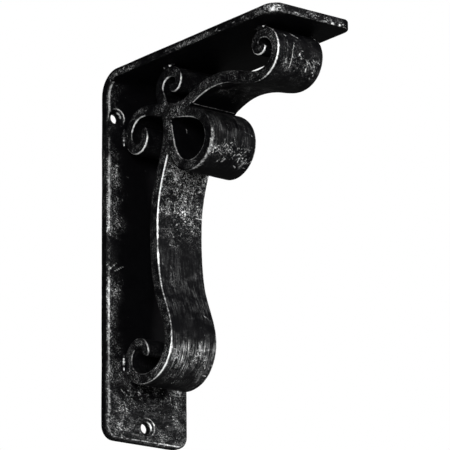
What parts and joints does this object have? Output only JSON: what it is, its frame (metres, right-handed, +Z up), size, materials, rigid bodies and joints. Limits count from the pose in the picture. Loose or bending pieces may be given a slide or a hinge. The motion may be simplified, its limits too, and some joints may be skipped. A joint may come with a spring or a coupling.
{
  "type": "scrolled iron shelf bracket",
  "caption": "L-shaped flat-bar wall bracket with welded scrollwork: a long S-scroll, a top scroll, a wall curl and a teardrop loop, screwed through countersunk holes.",
  "frame": {"origin": "middle of the wall leg's flat back face, half way up the bracket", "axes": "+Z up, +Y into the wall so that the bracket reaches out along -Y, +X across the bar's width"},
  "size_m": [0.0508, 0.1397, 0.1906],
  "materials": {
    "plate_iron": "black paint over flat bar, silver rubbed over the face and worn bright along the arrises",
    "scroll_iron": "black paint over forged bar, mottled silver rubbed over the outward faces and bright arrises",
    "weld_bead": "rippled weld bead under the same black and rubbed silver paint"
  },
  "bodies": {
    "root": {"wall_and_top_plate": "plate_iron", "long_scroll": "scroll_iron", "top_scroll": "scroll_iron", "wall_curl": "scroll_iron", "teardrop_loop": "scroll_iron", "weld_bottom_curl_left": "weld_bead", "weld_bottom_curl_right": "weld_bead", "weld_upper_curl_left": "weld_bead", "weld_upper_curl_right": "weld_bead", "weld_wall_curl_left": "weld_bead", "weld_wall_curl_right": "weld_bead", "weld_tip_curl_left": "weld_bead", "weld_tip_curl_right": "weld_bead"}
  },
  "joints": []
}
